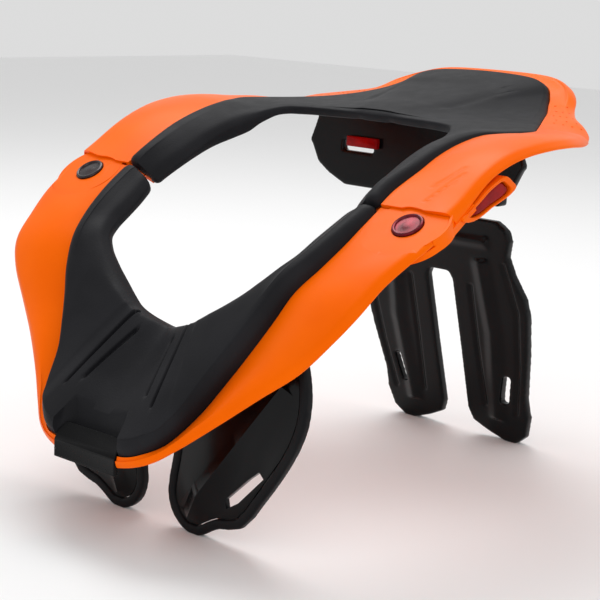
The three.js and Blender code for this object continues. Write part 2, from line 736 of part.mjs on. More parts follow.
// Back strut: two legs under a crossbar with a neck up to the rear shell. It is built upright,
// then leaned forward.
const strutFoot = hingeY + rearReach - strutSetback;
const neckTop = hingeHeight + neckRise;
const lean = new THREE.Matrix4().set(
  1, 0, 0, 0,
  0, 1, -strutLean, strutFoot,
  0, 0, 1, 0,
  0, 0, 0, 1,
);
const strutPlace = standing(0);
const strutFace = strutThick / 2;
const mirrored = (points, side) => points.map(([x, z]) => [x * side, z]);
const bothSides = (half) => [...half, ...mirrored([...half].reverse().slice(1, -1), -1)];
const rearRoom = rearShell.translate([0, 0, -drop]);
const barHeight = strutHeight * 0.9;
const barRidge = [[-strutHalf * 0.6, barHeight], [strutHalf * 0.6, barHeight]];
const neck = box(-neckHalf, neckHalf, barHeight, neckTop);
const legs = bothSides(scaled(strutOutline, strutHalf, strutHeight));
let backStrut = prism(legs, -strutFace, strutFace, strutPlace)
  .add(prism(neck, -strutFace, strutFace, strutPlace))
  .add(ridge(barRidge, barRidgeWidth, strutRidge, strutFace, strutPlace));
for (const side of [1, -1]) {
  const legRidge = mirrored(scaled(strutRidgeLine, strutHalf, strutHeight), side);
  const slot = mirrored(scaled(strutSlot, strutHalf, strutHeight), side);
  backStrut = backStrut
    .add(ridge(legRidge, legRidgeWidth, strutRidge, strutFace, strutPlace))
    .subtract(prism(slot, -far, far, strutPlace));
}
backStrut = mainBody(backStrut.transform(lean.toArray()).subtract(rearRoom));

// Wing plate under the table, with a slot and a red slider on each side.
const wingLow = hingeHeight - wingDrop;
const strutFront = strutFoot - strutLean * (wingLow + wingRise) - strutFace;
const wingFace = wingThick / 2;
const wingPlace = standing(strutFront - clearance * 2 - wingFace);
const wingShape = bothSides(wingOutline.map(([x, z]) => [x * wingHalf, wingLow + z * wingRise]));
let wingPlate = prism(wingShape, -wingFace, wingFace, wingPlace);
const adjusters = {};
const slotLow = wingLow + wingSlot.low * wingRise;
const adjusterLow = slotLow + wingSlotHigh / 2;
for (const side of [1, -1]) {
  const ends = [wingSlot.from, wingSlot.to].map((share) => side * share * wingHalf);
  const [x0, x1] = ends.sort((a, b) => a - b);
  const shift = side * adjusterShift;
  const slider = box(x0 - shift, x1 - shift, adjusterLow, adjusterLow + adjusterHeight);
  wingPlate = wingPlate.subtract(prism(box(x0, x1, slotLow, slotLow + wingSlotHigh), -far, far, wingPlace));
  adjusters[side] = prism(slider, wingFace + clearance, wingFace + clearance + adjusterThick, wingPlace);
}
wingPlate = mainBody(wingPlate.subtract(rearRoom));

// Release lever under the left rim: an orange scoop with a red catch in its pocket.
const leverRoot = [hingeY + leverBack, hingeHeight + leverRise];
const leverCorners = scaled(leverOutline, leverLength, leverHeight)
  .map(([y, z]) => [leverRoot[0] + y, leverRoot[1] + z]);
const leverShape = smooth(leverCorners, 2);
const leverOut = collarHalf + leverStand;
const pocketFloor = leverOut - leverPocketDepth;
const lever = mainBody(prism(leverShape, leverOut - leverWidth, leverOut, sideways)
  .subtract(prism(shrunk(leverShape, leverPocket), pocketFloor, far + leverOut, sideways))
  .subtract(rearRoom)
  .subtract(rearShell));
const catchShape = shrunk(leverShape, leverPocket - catchGap);
const leverCatch = prism(catchShape, pocketFloor + clearance, leverOut - leverStand, sideways)
  .subtract(rearRoom)
  .subtract(rearShell);

addPiece('front_shell', frontShell, orange);
addPiece('front_pad', frontPad, charcoal);
addPiece('nose_clip', noseClip, glossBlack);
addPiece('rear_shell', rearShell, orange);
addPiece('rear_pad', rearPad, charcoal);
addPiece('latch_button_left', latchButton, red);
addPiece('hinge_pin_right', hingePin, glossBlack);
addPiece('chest_paddle_left', paddle, glossBlack);
addPiece('chest_paddle_right', paddle.mirror([1, 0, 0]), glossBlack);
addPiece('paddle_rim_left', paddleEdge, charcoal);
addPiece('paddle_rim_right', paddleEdge.mirror([1, 0, 0]), charcoal);
addPiece('back_strut', backStrut, glossBlack);
addPiece('wing_plate', wingPlate, glossBlack);
addPiece('adjuster_left', adjusters[1], red);
addPiece('adjuster_right', adjusters[-1], red);
addPiece('release_lever', lever, orange);
addPiece('lever_catch', leverCatch, red);

export default group;
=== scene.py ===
import bpy
import bmesh
import math
import numpy as np
from mathutils import Matrix, Vector


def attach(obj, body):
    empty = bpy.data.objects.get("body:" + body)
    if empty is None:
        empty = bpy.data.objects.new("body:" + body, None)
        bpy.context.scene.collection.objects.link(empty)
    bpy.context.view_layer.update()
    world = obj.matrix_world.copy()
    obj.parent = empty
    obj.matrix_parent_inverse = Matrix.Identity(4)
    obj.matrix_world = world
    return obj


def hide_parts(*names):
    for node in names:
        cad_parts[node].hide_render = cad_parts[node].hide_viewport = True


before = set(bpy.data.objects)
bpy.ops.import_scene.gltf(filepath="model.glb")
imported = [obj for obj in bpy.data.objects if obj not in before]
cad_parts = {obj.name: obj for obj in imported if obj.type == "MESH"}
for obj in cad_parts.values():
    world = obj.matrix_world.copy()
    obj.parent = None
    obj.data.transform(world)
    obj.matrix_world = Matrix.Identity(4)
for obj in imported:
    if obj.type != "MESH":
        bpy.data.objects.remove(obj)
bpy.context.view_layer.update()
mm = 0.001
mergeDistance = 1e-6
planView = [0, 1]
backView = [0, 2]

# The collar is lofted through rows, as the solids are. Sizes are in millimetres and degrees.
collar = {"half": 130, "frontReach": 95, "rearReach": 228, "hingeHalf": 110, "hingeHeight": 160,
          "noseDrop": 120, "tailRise": 57, "hingeTilt": 33.8, "gap": 0.3}
collar["hingeY"] = (collar["frontReach"] - collar["rearReach"]) / 2

# Each row has the inner edge (x, y, z), the pad's seam (x, y, z) and the outer rim (x, y, z) as shares of
# the half width, the reach and the climb from the joint. Then come shares of the crown, the wall, the
# rim's height, the pad's rise and the pad's depth.
frontRows = [
    (0, -0.379, -0.525, 0, -0.958, -0.95, 0, -0.996, -0.997, 0, 1, 0.5, 0.9, 0.4),
    (0.077, -0.411, -0.5, 0.185, -0.984, -0.938, 0.169, -0.979, -0.988, 0, 1, 0.5, 0.9, 0.4),
    (0.131, -0.432, -0.475, 0.269, -0.937, -0.912, 0.292, -0.932, -0.95, 0.1, 1, 0.6, 1, 0.4),
    (0.177, -0.435, -0.45, 0.327, -0.847, -0.867, 0.385, -0.853, -0.879, 0.3, 1, 0.8, 1.1, 0.4),
    (0.231, -0.421, -0.412, 0.385, -0.716, -0.758, 0.492, -0.753, -0.779, 0.6, 1, 1, 1.2, 0.4),
    (0.292, -0.402, -0.367, 0.446, -0.616, -0.625, 0.623, -0.647, -0.654, 1, 1, 1, 1.2, 0.4),
    (0.354, -0.387, -0.317, 0.5, -0.542, -0.508, 0.746, -0.563, -0.542, 1, 1, 1, 1.1, 0.4),
    (0.412, -0.363, -0.263, 0.554, -0.479, -0.392, 0.85, -0.505, -0.412, 1, 1, 1, 1, 0.4),
    (0.458, -0.316, -0.212, 0.597, -0.4, -0.275, 0.912, -0.432, -0.308, 1, 1, 1, 0.9, 0.4),
    (0.485, -0.232, -0.169, 0.635, -0.284, -0.188, 0.938, -0.305, -0.208, 0.8, 1, 1, 0.85, 0.4),
    (0.495, -0.129, -0.119, 0.658, -0.158, -0.108, 0.969, -0.168, -0.125, 0.4, 1, 1, 0.8, 0.4),
    (0.506, -0.037, -0.074, 0.669, -0.042, -0.038, 0.99, -0.032, -0.058, 0, 0.94, 0.9, 0.7, 0.4),
    (0.523, 0.063, -0.021, 0.675, 0.084, 0.03, 0.995, 0.1, 0.012, 0, 0.94, 0.9, 0.6, 0.4),
]
rearRows = [
    (0.527, 0.048, -0.035, 0.674, 0.036, 0.095, 0.997, 0.054, -0.014, 0, 2.5, 2.2, 0.7, 0.29),
    (0.519, 0.088, 0.07, 0.673, 0.081, 0.202, 0.997, 0.086, 0.122, 0.1, 2.3, 1.4, 0.8, 0.32),
    (0.512, 0.154, 0.211, 0.687, 0.154, 0.351, 0.994, 0.154, 0.326, 0.6, 1.2, 1, 0.7, 0.36),
    (0.508, 0.219, 0.342, 0.688, 0.211, 0.456, 0.998, 0.219, 0.439, 1, 1, 1, 0.6, 0.45),
    (0.504, 0.285, 0.447, 0.692, 0.281, 0.547, 1.009, 0.285, 0.509, 1, 1, 1, 0.5, 0.56),
    (0.5, 0.346, 0.518, 0.708, 0.355, 0.609, 1.02, 0.364, 0.547, 1, 1, 1, 0.35, 0.56),
    (0.488, 0.386, 0.57, 0.754, 0.417, 0.621, 1.012, 0.439, 0.551, 0.8, 1, 1, 0.2, 0.42),
    (0.465, 0.417, 0.605, 0.786, 0.478, 0.633, 0.977, 0.513, 0.533, 0.5, 1, 1, 0.1, 0.32),
    (0.431, 0.439, 0.623, 0.738, 0.535, 0.637, 0.915, 0.588, 0.526, 0.5, 1, 1, 0.1, 0.3),
    (0.385, 0.45, 0.628, 0.677, 0.596, 0.642, 0.862, 0.636, 0.517, 0.2, 1, 0.5, 0.1, 0.3),
    (0.331, 0.456, 0.632, 0.615, 0.658, 0.653, 0.81, 0.686, 0.552, 0.2, 1, 0.5, 0.1, 0.3),
    (0.277, 0.461, 0.632, 0.562, 0.714, 0.674, 0.742, 0.724, 0.612, 0.2, 1, 0.5, 0.1, 0.3),
    (0.223, 0.463, 0.632, 0.508, 0.772, 0.7, 0.64, 0.78, 0.66, 0.2, 1, 0.5, 0.15, 0.3),
    (0.169, 0.465, 0.632, 0.446, 0.829, 0.75, 0.558, 0.846, 0.705, 0.2, 1, 0.5, 0.2, 0.3),
    (0.115, 0.466, 0.632, 0.396, 0.877, 0.81, 0.492, 0.908, 0.79, 0.3, 1, 1, 0.3, 0.3),
    (0.069, 0.467, 0.632, 0.338, 0.914, 0.9, 0.4, 0.961, 0.87, 0.3, 1, 1, 0.4, 0.3),
    (0.038, 0.467, 0.632, 0.231, 0.932, 0.95, 0.277, 0.991, 0.93, 0.3, 1, 1, 0.4, 0.3),
    (0, 0.467, 0.632, 0, 0.934, 0.97, 0, 1, 0.94, 0.3, 1, 1, 0.4, 0.3),
]
columnNames = ("inner", "seam", "rim", "crown", "wall", "edge", "rise", "depth")


def catmull(p0, p1, p2, p3, t):
    bend = 2 * p0 - 5 * p1 + 4 * p2 - p3
    twist = 3 * p1 - p0 - 3 * p2 + p3
    return 0.5 * (2 * p1 + (p2 - p0) * t + bend * t * t + twist * t ** 3)


def onSpan(values, i, t):
    # the curve from value i to the next one
    last = len(values) - 1
    return catmull(values[max(i - 1, 0)], values[i], values[i + 1], values[min(i + 2, last)], t)


def splineAt(values, at):
    i = min(int(at), len(values) - 2)
    return onSpan(values, i, at - i)


def openSpline(points, perSpan):
    spans = range(len(points) - 1)
    return [onSpan(points, i, step / perSpan) for i in spans for step in range(perSpan)] + points[-1:]


def placedRow(row, side, front):
    reach = collar["frontReach" if front else "rearReach"]
    climb = collar["noseDrop" if front else "tailRise"]
    spot = [Vector((side * row[k] * collar["half"], collar["hingeY"] + row[k + 1] * reach,
                    collar["hingeHeight"] + row[k + 2] * climb)) for k in (0, 3, 6)]
    return spot + list(row[9:])


def stations(rows, front, perRow):
    # from the right joint round the middle to the left joint
    fromMiddle = rows if front else rows[::-1]
    right = [placedRow(row, -1, front) for row in fromMiddle[1:]][::-1]
    every = right + [placedRow(row, 1, front) for row in fromMiddle]
    columns = list(zip(*every))
    count = (len(every) - 1) * perRow
    found = []
    for k in range(count + 1):
        values = [splineAt(column, k / perRow) for column in columns]
        found.append(dict(zip(columnNames, values)))
    for k, spot in enumerate(found):
        ahead = found[min(k + 1, count)]["seam"] - found[max(k - 1, 0)]["seam"]
        up = ahead.cross(spot["rim"] - spot["inner"]).normalized()
        spot["up"] = up if up.z > 0 else -up
        spot["out"] = spot["rim"] - spot["seam"]
        spot["into"] = spot["inner"] - spot["seam"]
    return found


def sectionPoint(spot, way, distance, level):
    return spot["seam"] + spot[way].normalized() * distance + spot["up"] * level


# The skin runs from the seam out over the rim and back under it. Its points are shares of the width, the
# roll, the rim's height, the crown, the wall and the lip. The tray that carries the pad closes the section.
shell = {"wall": 3.2, "crown": 2.2, "rimHeight": 3.4, "rimRoll": 5, "rollShare": 0.45, "lip": 0.8,
         "trayDrop": 2.2, "trayWall": 2.4, "trayInset": 4, "stationsPerRow": 6, "pointsPerSpan": 3,
         "skin": [(0, 0, 0, 0, 0, 0), (0.25, 0, 0.25, 0.7, 0, 0), (0.55, 0, 0.6, 1, 0, 0),
                  (1, 1, 1, 0.3, 0, 0), (1, 0.35, 0.8, 0, 0, 0), (1, 0, 0.35, 0, 0, 0),
                  (1, 0.12, 0, 0, 0, 0), (1, 1, 0.2, 0, 0, 1), (0.45, 0, 0.45, 1, 1, 0)]}


def trayTopAt(spot):
    # how far the tray's inner edge lies below the seam
    return max(pad["depth"] * spot["depth"] - shell["trayWall"], shell["trayDrop"])


def shellSection(spot):
    wide = spot["out"].length
    roll = min(shell["rimRoll"], wide * shell["rollShare"])
    edge = shell["rimHeight"] * spot["edge"]
    crown = shell["crown"] * spot["crown"]
    wall = shell["wall"] * spot["wall"]
    drop = shell["trayDrop"]
    tray = spot["into"].length - shell["trayInset"]
    trayTop = trayTopAt(spot)
    trayMiddle = (drop + trayTop) / 2
    outer = []
    for across, back, high, arch, thick, lip in shell["skin"]:
        level = edge * high + crown * arch - wall * thick - shell["lip"] * lip
        outer.append((wide * across - roll * back, level))
    outer.append((0, -max(wall, drop + shell["trayWall"])))
    inner = [(tray / 2, -trayMiddle - shell["trayWall"]), (tray, -trayTop - shell["trayWall"]),
             (tray, -trayTop), (tray / 2, -trayMiddle), (collar["gap"], -drop),
             (collar["gap"] / 2, -collar["gap"])]
    skin = openSpline([sectionPoint(spot, "out", *p) for p in outer], shell["pointsPerSpan"])
    return skin + [sectionPoint(spot, "into", *p) for p in inner]


# The skin runs from the seam to the pad's foot. Its points are shares of the width, the bevel, the roll,
# the rise and the depth. The last stations at each end are drawn in by the ends' shares, and so rounded.
pad = {"rise": 8, "bevel": 7, "bevelShare": 0.35, "roll": 8, "rollShare": 0.4, "depth": 16,
       "stationsPerRow": 11, "pointsPerSpan": 6, "ends": (0.8, 0.9, 0.955, 0.985),
       "seamGaps": 2, "footGaps": 1.2, "heelGaps": 3,
       "skin": [(0, 0.3, 0, 0.5, 0), (0, 0.8, 0, 0.93, 0), (0, 1.3, 0, 1, 0),
                (0.5, 0.5, 0.5, 0.92, 0), (1, 0, 1, 0.7, 0), (1, 0, 0.4, 0.4, 0),
                (1, 0, 0.08, 0, 0.05), (1, 0, 0, 0, 0.35), (1, 0, 0.1, 0, 0.85), (1, 0, 0.25, 0, 1)]}


def padSection(spot):
    wide = spot["into"].length
    rise = pad["rise"] * spot["rise"]
    bevel = min(pad["bevel"], wide * pad["bevelShare"])
    roll = min(pad["roll"], wide * pad["rollShare"])
    drop = shell["trayDrop"]
    trayTop = trayTopAt(spot)
    low = trayTop + shell["trayWall"]
    tray = wide - shell["trayInset"]
    gap = collar["gap"]
    foot = gap * pad["footGaps"]
    skin = [(gap * pad["seamGaps"], -gap)]
    for across, inset, back, high, deep in pad["skin"]:
        skin.append((wide * across + bevel * inset - roll * back, rise * high - low * deep))
    seat = [(tray + foot, -low), (tray + foot, foot - trayTop), (tray / 2, foot - (drop + trayTop) / 2),
            (gap * pad["heelGaps"], foot - drop)]
    curve = openSpline([sectionPoint(spot, "into", *p) for p in skin], pad["pointsPerSpan"])
    return curve + [sectionPoint(spot, "into", *p) for p in seat]


def padRings(rows, front):
    rings = [padSection(s) for s in stations(rows, front, pad["stationsPerRow"])]
    for k, share in enumerate(pad["ends"]):
        for index in (k, -1 - k):
            middle = sum(rings[index], Vector()) / len(rings[index])
            rings[index] = [middle + (p - middle) * share for p in rings[index]]
    return rings


def newObject(name, bm):
    mesh = bpy.data.meshes.new(name)
    bm.to_mesh(mesh)
    bm.free()
    obj = bpy.data.objects.new(name, mesh)
    bpy.context.scene.collection.objects.link(obj)
    return obj


def loft(name, rings):
    # one ring of edges, pushed from station to station
    bm = bmesh.new()
    ring = [bm.verts.new(p * mm) for p in rings[0]]
    edges = [bm.edges.new((ring[i - 1], ring[i])) for i in range(len(ring))]
    for points in rings[1:]:
        made = bmesh.ops.extrude_edge_only(bm, edges=edges)["geom"]
        fresh = {g for g in made if isinstance(g, bmesh.types.BMVert)}
        partners = []
        for vert in ring:
            partners += [e.other_vert(vert) for e in vert.link_edges if e.other_vert(vert) in fresh]
        ring = partners
        edges = [g for g in made if isinstance(g, bmesh.types.BMEdge) and set(g.verts) <= fresh]
        for vert, point in zip(ring, points):
            vert.co = point * mm
    bmesh.ops.holes_fill(bm, edges=[e for e in bm.edges if e.is_boundary], sides=0)
    bmesh.ops.recalc_face_normals(bm, faces=bm.faces)
    return newObject(name, bm)


# The lap joints are built upright at the middle and then leaned onto their axes.
joint = {"skin": 1, "lug": 3, "tongue": 3.5, "lugRadius": 19.5, "tongueRadius": 20.3,
         "tongueShare": 1.2, "swingRadius": 21.7, "cutRadius": 22.4, "button": 7.8, "sink": 0.6,
         "pin": 5.5, "slack": 1.2, "reach": 40, "sides": 96, "seamSpan": 6}
# The crescent round the latch's lug starts as a thin tip at its front end.
wrap = {"thick": 1.4, "start": -20, "end": 42, "tip": 0.1, "growth": 2.5, "ease": 0.7, "steps": 18}

# Seams of the two joints from above, in shares of the lug's radius, outward and rearward.
latchSeam = [(-1.6, 0.47), (-0.67, 0.47), (-0.35, 0.57), (0.01, 0.55), (0.33, 0.44), (0.68, 0.18),
             (0.87, -0.02), (0.95, -0.3), (1.03, -0.6), (1.03, -1.6), (-1.6, -1.6)]
hingeSeam = [(-1.6, 0.42), (-1.16, 0.39), (-0.88, 0.43), (-0.35, 0.58), (0.18, 0.57), (0.64, 0.65),
             (1.6, 0.72), (1.6, -1.6), (-1.6, -1.6)]

# Levels of a joint along its own axis, from the skin down.
slotTop = -joint["skin"]
lugTop = slotTop - collar["gap"]
lugLow = lugTop - joint["lug"]
tongueTop = lugLow - collar["gap"]
tongueLow = tongueTop - joint["tongue"]
far = joint["reach"]


def jointMatrix():
    turn = Matrix.Rotation(math.radians(collar["hingeTilt"]), 4, "X")
    middle = Vector((collar["hingeHalf"], collar["hingeY"], collar["hingeHeight"]))
    return Matrix.Translation(middle * mm) @ turn


def onJoint(bm, side, name="tool"):
    bmesh.ops.transform(bm, matrix=jointMatrix(), verts=bm.verts)
    if side < 0:
        bmesh.ops.scale(bm, vec=(-1, 1, 1), verts=bm.verts)
    bmesh.ops.recalc_face_normals(bm, faces=bm.faces)
    return newObject(name, bm)


def disc(radius, low, high, side):
    bm = bmesh.new()
    middle = Matrix.Translation((0, 0, (high + low) / 2 * mm))
    bmesh.ops.create_cone(bm, cap_ends=True, segments=joint["sides"], radius1=radius * mm,
                          radius2=radius * mm, depth=(high - low) * mm, matrix=middle)
    return onJoint(bm, side)


def slab(corners, low, high):
    # a flat outline pushed up between two levels
    bm = bmesh.new()
    face = bm.faces.new([bm.verts.new((x * mm, y * mm, low * mm)) for x, y in corners])
    top = bmesh.ops.extrude_face_region(bm, geom=[face])["geom"]
    verts = [g for g in top if isinstance(g, bmesh.types.BMVert)]
    bmesh.ops.translate(bm, vec=(0, 0, (high - low) * mm), verts=verts)
    bmesh.ops.recalc_face_normals(bm, faces=bm.faces)
    return bm


def jointSlab(corners, low, high, side):
    return onJoint(slab(corners, low, high), side)


def rectangle(u0, u1, v0, v1):
    return [(u0, v0), (u1, v0), (u1, v1), (u0, v1)]


def crescent(inner):
    outside, inside = [], []
    for k in range(wrap["steps"] + 1):
        angle = math.radians(wrap["start"] + (wrap["end"] - wrap["start"]) * k / wrap["steps"])
        grown = min(1, wrap["growth"] * k / wrap["steps"]) ** wrap["ease"]
        radius = inner + wrap["thick"] * (wrap["tip"] + (1 - wrap["tip"]) * grown)
        outside.append((radius * math.cos(angle), radius * math.sin(angle)))
        inside.append((inner * math.cos(angle), inner * math.sin(angle)))
    return outside + inside[::-1]


def smoothSeam(points, radius):
    # the seam itself is rounded, and the two corners of the cutter beyond it stay
    curve = openSpline([Vector(p) * radius for p in points[:-2]], joint["seamSpan"])
    return [tuple(p) for p in curve] + [(u * radius, v * radius) for u, v in points[-2:]]


def bake(obj):
    # the modifiers' result becomes the mesh
    bpy.context.view_layer.update()
    shaped = obj.evaluated_get(bpy.context.evaluated_depsgraph_get())
    mesh = bpy.data.meshes.new_from_object(shaped)
    obj.modifiers.clear()
    obj.data = mesh


def carve(obj, *steps):
    # steps are pairs of an operation and a tool
    for operation, tool in steps:
        step = obj.modifiers.new(operation, "BOOLEAN")
        step.solver = "MANIFOLD"
        step.operation = operation
        step.object = tool
    bake(obj)
    for tool in {tool for operation, tool in steps}:
        bpy.data.objects.remove(tool)


# Faces that meet at less than these angles are shaded smooth.
shade = {"plain": 38, "pad": 50, "button": 30, "paddle": 40, "worn": 60}


def smoothShade(obj, angle=shade["plain"]):
    obj.data.shade_smooth()
    obj.data.set_sharp_from_angle(angle=math.radians(angle))


# Copies of the solids: faces within the flat angle are joined, and edges past the sharp one are bevelled.
copies = {"flat": 4, "sharp": 30, "bevelSteps": 3, "smoothing": 0.5}


def frameCopy(node, name):
    bm = bmesh.new()
    bm.from_mesh(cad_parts[node].data)
    bmesh.ops.remove_doubles(bm, verts=bm.verts, dist=mergeDistance)
    return newObject(name, bm)


def roundedCopy(node, name, voxel, passes):
    # fine even faces with their edges worn round
    obj = frameCopy(node, name)
    grid = obj.modifiers.new("grid", "REMESH")
    grid.mode = "VOXEL"
    grid.voxel_size = voxel * mm
    soft = obj.modifiers.new("soft", "SMOOTH")
    soft.factor = copies["smoothing"]
    soft.iterations = passes
    bake(obj)
    return obj


def openMesh(obj):
    bm = bmesh.new()
    bm.from_mesh(obj.data)
    return bm


def closeMesh(bm, obj):
    bm.to_mesh(obj.data)
    bm.free()


def bevelledCopy(node, name, width, sharp=copies["sharp"], sink=None):
    # sink may press some of the joined faces in before the bevel
    obj = frameCopy(node, name)
    bm = openMesh(obj)
    bmesh.ops.dissolve_limit(bm, angle_limit=math.radians(copies["flat"]), verts=bm.verts, edges=bm.edges)
    if sink:
        sink(bm)
    limit = math.radians(sharp)
    edges = [e for e in bm.edges if len(e.link_faces) == 2 and e.calc_face_angle() > limit]
    bmesh.ops.bevel(bm, geom=edges, offset=width * mm, affect="EDGES", segments=copies["bevelSteps"],
                    profile=0.5, material=-1, clamp_overlap=True)
    closeMesh(bm, obj)
    return obj


# Relief is pressed into faces that look the relief's way. It starts and ends softly where they turn away.
relief = {"leastTurn": 0.3, "turnGain": 3, "refineTurn": 0.2, "relaxing": 0.5}


def vertexArrays(obj):
    mesh = obj.data
    count = len(mesh.vertices)
    places = np.empty(count * 3)
    normals = np.empty(count * 3)
    mesh.vertices.foreach_get("co", places)
    mesh.vertices.foreach_get("normal", normals)
    return places.reshape(-1, 3) / mm, normals.reshape(-1, 3)


def nearestLine(flat, lines):
    # distance of each flat point from the nearest of several lines of corners
    best = np.full(len(flat), np.inf)
    for line in lines:
        for start, end in zip(line[:-1], line[1:]):
            a = np.array(start, float)
            b = np.array(end, float)
            t = np.clip(((flat - a) @ (b - a)) / ((b - a) @ (b - a)), 0, 1)
            best = np.minimum(best, np.linalg.norm(flat - (a + t[:, None] * (b - a)), axis=1))
    return best


def insideShare(flat, corners, soft):
    # 1 inside a convex outline, 0 outside, easing over a soft edge
    middle = np.mean(corners, axis=0)
    share = np.ones(len(flat))
    for start, end in zip(corners, corners[1:] + corners[:1]):
        a = np.array(start, float)
        b = np.array(end, float)
        across = np.array([-(b - a)[1], (b - a)[0]]) / np.linalg.norm(b - a)
        if (middle - a) @ across < 0:
            across = -across
        share = np.minimum(share, np.clip(((flat - a) @ across) / soft + 0.5, 0, 1))
    return share * share * (3 - 2 * share)


def pushIn(obj, depth, facing, view, shareOf):
    places, normals = vertexArrays(obj)
    least = relief["leastTurn"]
    turned = np.clip((normals @ np.array(facing) - least) / (1 - least) * relief["turnGain"], 0, 1)
    depths = depth * shareOf(places[:, view]) * turned
    obj.data.vertices.foreach_set("co", ((places - normals * depths[:, None]) * mm).ravel())
    obj.data.update()


def pressGrooves(obj, form, view=planView):
    def share(flat):
        near = np.clip(nearestLine(flat, form["grooves"]) / (form["width"] / 2), 0, 1)
        return 0.5 + 0.5 * np.cos(np.pi * near)
    pushIn(obj, form["depth"], form["facing"], view, share)


def sinkPanel(obj, form):
    def share(flat):
        return insideShare(flat, form["panel"], form["soft"])
    pushIn(obj, form["sink"], form["facing"], planView, share)


def refine(obj, form):
    # more faces along grooves, so that they come out crisp
    bm = openMesh(obj)
    bm.normal_update()
    edges = list(bm.edges)
    middles = np.array([(e.verts[0].co + e.verts[1].co) / 2 for e in edges]) / mm
    distances = nearestLine(middles[:, planView], form["grooves"])
    way = Vector(form["facing"])
    near = [e for e, distance in zip(edges, distances)
            if distance < form["reach"] and e.verts[0].normal.dot(way) > relief["refineTurn"]]
    bmesh.ops.subdivide_edges(bm, edges=near, cuts=form["cuts"], use_grid_fill=True)
    bmesh.ops.triangulate(bm, faces=[f for f in bm.faces if len(f.verts) > 4])
    closeMesh(bm, obj)


def relax(obj, form):
    # evens out the fine faces beside grooves
    bm = openMesh(obj)
    verts = list(bm.verts)
    distances = nearestLine((np.array([v.co for v in verts]) / mm)[:, planView], form["grooves"])
    near = [v for v, distance in zip(verts, distances) if distance < form["reach"]]
    for _ in range(form["passes"]):
        bmesh.ops.smooth_vert(bm, verts=near, factor=relief["relaxing"], use_axis_x=True,
                              use_axis_y=True, use_axis_z=True)
    closeMesh(bm, obj)


def mirrored(lines):
    return lines + [[(-x, y) for x, y in line] for line in lines]


# Tint turns to colour between two values of a soft noise, and finer noises vary the roughness and the bump.
surface = {"tintTo": 0.35, "colourFrom": 0.65, "cloudDetail": 5, "rubFiner": 4, "rubDetail": 6,
           "grainDetail": 4}


def noise(tree, place, scale, detail):
    node = tree.nodes.new("ShaderNodeTexNoise")
    node.inputs["Scale"].default_value = scale
    node.inputs["Detail"].default_value = detail
    tree.links.new(place.outputs["Object"], node.inputs["Vector"])
    return node.outputs["Fac"]


def pebbles(tree, place, scale):
    node = tree.nodes.new("ShaderNodeTexVoronoi")
    node.inputs["Scale"].default_value = scale
    tree.links.new(place.outputs["Object"], node.inputs["Vector"])
    return node.outputs["Distance"]


def finish(name, colour, tint, roughness, blotch, grain, grainDepth, grainHeight, pebbled=False,
           metallic=0, coat=0, coatRoughness=0.1, specular=0.5, glint=(1, 1, 1)):
    material = bpy.data.materials.new(name)
    material.use_nodes = True
    tree = material.node_tree
    shader = tree.nodes["Principled BSDF"]
    shader.inputs["Metallic"].default_value = metallic
    shader.inputs["Coat Weight"].default_value = coat
    shader.inputs["Coat Roughness"].default_value = coatRoughness
    shader.inputs["Specular IOR Level"].default_value = specular
    shader.inputs["Specular Tint"].default_value = (*glint, 1)
    place = tree.nodes.new("ShaderNodeTexCoord")
    ramp = tree.nodes.new("ShaderNodeValToRGB")
    ramp.color_ramp.elements[0].position = surface["tintTo"]
    ramp.color_ramp.elements[0].color = (*tint, 1)
    ramp.color_ramp.elements[1].position = surface["colourFrom"]
    ramp.color_ramp.elements[1].color = (*colour, 1)
    tree.links.new(noise(tree, place, blotch, surface["cloudDetail"]), ramp.inputs["Fac"])
    tree.links.new(ramp.outputs["Color"], shader.inputs["Base Color"])
    spread = tree.nodes.new("ShaderNodeMapRange")
    spread.inputs["To Min"].default_value = roughness[0]
    spread.inputs["To Max"].default_value = roughness[1]
    rub = noise(tree, place, blotch * surface["rubFiner"], surface["rubDetail"])
    tree.links.new(rub, spread.inputs["Value"])
    tree.links.new(spread.outputs["Result"], shader.inputs["Roughness"])
    bump = tree.nodes.new("ShaderNodeBump")
    bump.inputs["Strength"].default_value = grainDepth
    bump.inputs["Distance"].default_value = grainHeight * mm
    height = pebbles(tree, place, grain) if pebbled else noise(tree, place, grain, surface["grainDetail"])
    tree.links.new(height, bump.inputs["Height"])
    tree.links.new(bump.outputs["Normal"], shader.inputs["Normal"])
    return material


orangePlastic = finish("orange moulded plastic", (1, 0.145, 0), (0.95, 0.128, 0), (0.3, 0.42), blotch=25,
                       grain=1600, grainDepth=0.12, grainHeight=0.05, specular=0.14, glint=(1, 0.5, 0.2))
padFoam = finish("charcoal moulded foam", (0.0145, 0.0145, 0.0168), (0.0095, 0.0095, 0.0112), (0.42, 0.6),
                 blotch=35, grain=1100, grainDepth=0.35, grainHeight=0.12, pebbled=True, specular=0.1)
glossBlack = finish("gloss black plastic", (0.0035, 0.0035, 0.004), (0.002, 0.002, 0.0025), (0.16, 0.28),
                    blotch=30, grain=700, grainDepth=0.06, grainHeight=0.06, specular=0.16)
softBlack = finish("soft black edge", (0.007, 0.007, 0.008), (0.004, 0.004, 0.005), (0.4, 0.55),
                   blotch=60, grain=1300, grainDepth=0.2, grainHeight=0.08, pebbled=True, specular=0.12)
clipBlack = finish("satin black plastic", (0.0025, 0.0025, 0.003), (0.0015, 0.0015, 0.002), (0.22, 0.32),
                   blotch=80, grain=1800, grainDepth=0.15, grainHeight=0.05, specular=0.12)
redMetal = finish("red anodised metal", (0.17, 0.002, 0.012), (0.06, 0.001, 0.005), (0.22, 0.34),
                  blotch=160, grain=1500, grainDepth=0.08, grainHeight=0.04, metallic=0.75, coat=0.1,
                  coatRoughness=0.08)
